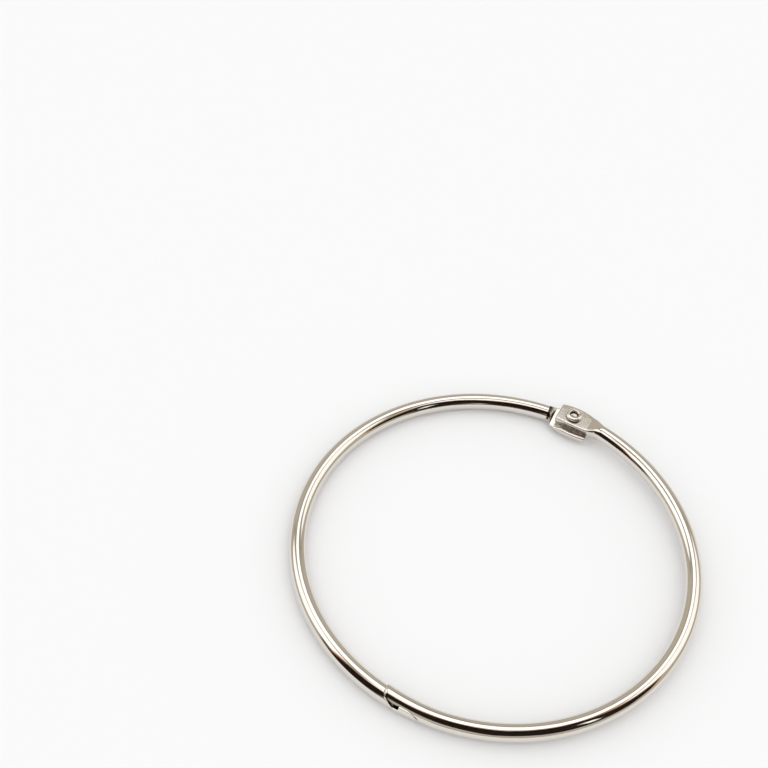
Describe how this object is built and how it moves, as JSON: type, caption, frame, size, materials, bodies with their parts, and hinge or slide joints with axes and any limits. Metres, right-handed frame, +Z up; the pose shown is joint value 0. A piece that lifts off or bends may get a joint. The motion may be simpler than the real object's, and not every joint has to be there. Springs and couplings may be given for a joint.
{
  "type": "hinged binder ring",
  "caption": "Closed round wire ring in two riveted halves that swing open, with a hooked lap latch opposite the hinge.",
  "frame": {"origin": "centre of the closed ring, on the surface it lies on", "axes": "+Z up, square to the ring's plane; the hinge is 61.5 degrees round from +X towards +Y and the latch is 174.2 degrees further on; the left half lies flat and the right half leans up by 1 degree from the latch to the hinge"},
  "size_m": [0.076, 0.076, 0.0045],
  "materials": {
    "plated_wire": "bright nickel plate on steel wire, satin on the pressed tabs",
    "plated_rivet": "bright nickel plate, rolled rim"
  },
  "bodies": {
    "left": {"left_half": "plated_wire", "rivet": "plated_rivet"},
    "right": {"right_half": "plated_wire"}
  },
  "joints": [
    {"name": "ring_hinge", "type": "hinge", "parent": "left", "child": "right", "pos_m": [0.01737, 0.03199, 0.00215], "axis": [0, 0, 1], "range_deg": [0, 120]}
  ]
}
